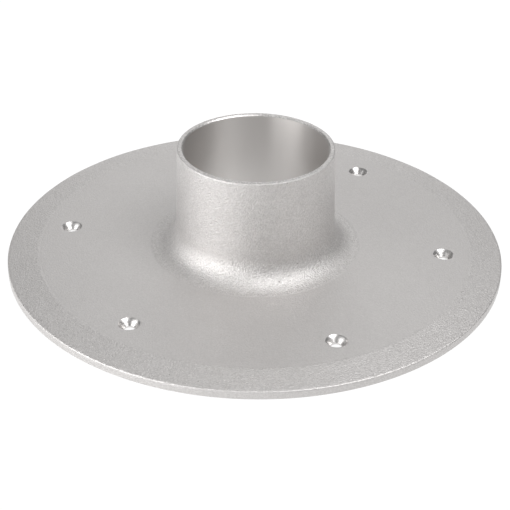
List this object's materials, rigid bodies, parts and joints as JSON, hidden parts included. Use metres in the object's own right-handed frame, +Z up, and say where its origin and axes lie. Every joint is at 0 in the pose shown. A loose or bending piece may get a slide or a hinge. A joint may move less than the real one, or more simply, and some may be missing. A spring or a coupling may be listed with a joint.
{
  "type": "stanchion base",
  "caption": "Round cast-aluminium deck plate with an integral upright socket that takes the foot of a stanchion tube, and a ring of countersunk screw holes.",
  "frame": {"origin": "centre of the underside, on the socket's axis", "axes": "+Z up the socket, +X through one of the screw holes"},
  "size_m": [0.21, 0.21, 0.0494],
  "materials": {
    "cast_aluminium": "blasted as-cast skin, with a turned bore, rim and screw-hole countersinks"
  },
  "bodies": {
    "root": {"base_casting": "cast_aluminium"}
  },
  "joints": []
}
